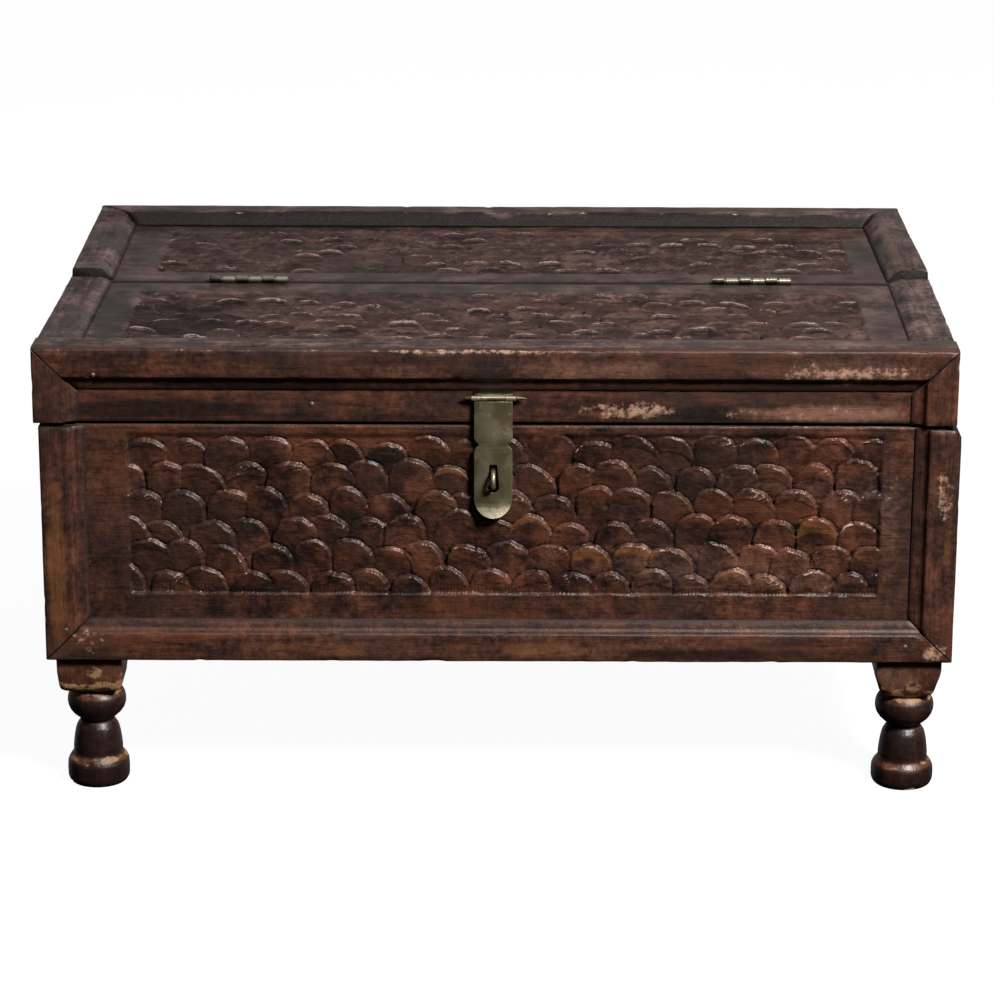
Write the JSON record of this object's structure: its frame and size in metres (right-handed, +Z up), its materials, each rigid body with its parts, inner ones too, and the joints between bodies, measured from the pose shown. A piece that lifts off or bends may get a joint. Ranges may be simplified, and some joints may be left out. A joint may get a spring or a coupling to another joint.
{
  "type": "wooden box",
  "caption": "Carved wooden chest on turned feet, with a half-top lid on butt hinges and a brass hasp over a staple.",
  "frame": {"origin": "on the floor, at the middle of the chest's bounding box", "axes": "+X to the viewer's right along the front, -Y out of the front, +Z up"},
  "size_m": [0.55, 0.3759, 0.286],
  "materials": {
    "carved_wood": "dark stained, waxed, carved",
    "plain_wood": "dark stained and waxed",
    "moulding_wood": "dark stained and waxed, worn at the edges",
    "top_wood": "dark stained and waxed, dulled by use",
    "foot_wood": "turned, dark stained and waxed",
    "inside_wood": "thinly stained",
    "old_brass": "aged, tarnished",
    "bright_brass": "rubbed bright"
  },
  "bodies": {
    "carcass": {"bottom_board": "inside_wood", "front_board": "carved_wood", "back_board": "plain_wood", "left_side_board": "carved_wood", "right_side_board": "carved_wood", "left_side_upper_board": "plain_wood", "right_side_upper_board": "plain_wood", "front_bottom_rail": "moulding_wood", "front_left_stile": "moulding_wood", "front_right_stile": "moulding_wood", "left_side_bottom_rail": "moulding_wood", "right_side_bottom_rail": "moulding_wood", "left_side_front_stile": "moulding_wood", "right_side_front_stile": "moulding_wood", "left_side_rear_stile": "moulding_wood", "right_side_rear_stile": "moulding_wood", "left_side_top_rail": "moulding_wood", "right_side_top_rail": "moulding_wood", "fixed_top_board": "top_wood", "fixed_top_cross_rail": "inside_wood", "fixed_top_rear_rail": "top_wood", "fixed_top_left_moulding": "top_wood", "fixed_top_right_moulding": "top_wood", "foot_front_left": "foot_wood", "foot_front_right": "foot_wood", "foot_rear_left": "foot_wood", "foot_rear_right": "foot_wood", "hasp_staple": "old_brass", "hinge_left_fixed_leaf": "bright_brass", "hinge_left_pin": "bright_brass", "hinge_left_fixed_screw_outer": "bright_brass", "hinge_left_fixed_screw_inner": "bright_brass", "hinge_right_fixed_leaf": "bright_brass", "hinge_right_pin": "bright_brass", "hinge_right_fixed_screw_outer": "bright_brass", "hinge_right_fixed_screw_inner": "bright_brass"},
    "lid": {"lid_top_board": "top_wood", "lid_front_board": "plain_wood", "lid_left_side_board": "plain_wood", "lid_right_side_board": "plain_wood", "lid_rear_batten": "inside_wood", "lid_front_top_strip": "top_wood", "lid_front_rail": "moulding_wood", "lid_front_left_stile": "moulding_wood", "lid_front_right_stile": "moulding_wood", "lid_left_side_rail": "moulding_wood", "lid_right_side_rail": "moulding_wood", "lid_left_side_front_stile": "moulding_wood", "lid_right_side_front_stile": "moulding_wood", "lid_left_top_moulding": "top_wood", "lid_right_top_moulding": "top_wood", "hinge_left_lid_leaf": "bright_brass", "hinge_left_lid_screw_outer": "bright_brass", "hinge_left_lid_screw_inner": "bright_brass", "hinge_right_lid_leaf": "bright_brass", "hinge_right_lid_screw_outer": "bright_brass", "hinge_right_lid_screw_inner": "bright_brass", "hasp_leaf": "old_brass", "hasp_pin": "old_brass"},
    "hasp": {"hasp_strap": "old_brass"}
  },
  "joints": [
    {"name": "lid_hinge", "type": "hinge", "parent": "carcass", "child": "lid", "pos_m": [0, 0.0025, 0.279], "axis": [-1, 0, 0], "range_deg": [0, 100]},
    {"name": "hasp_hinge", "type": "hinge", "parent": "lid", "child": "hasp", "pos_m": [-0.004, -0.17895, 0.25175], "axis": [-1, 0, 0], "range_deg": [0, 135]}
  ]
}
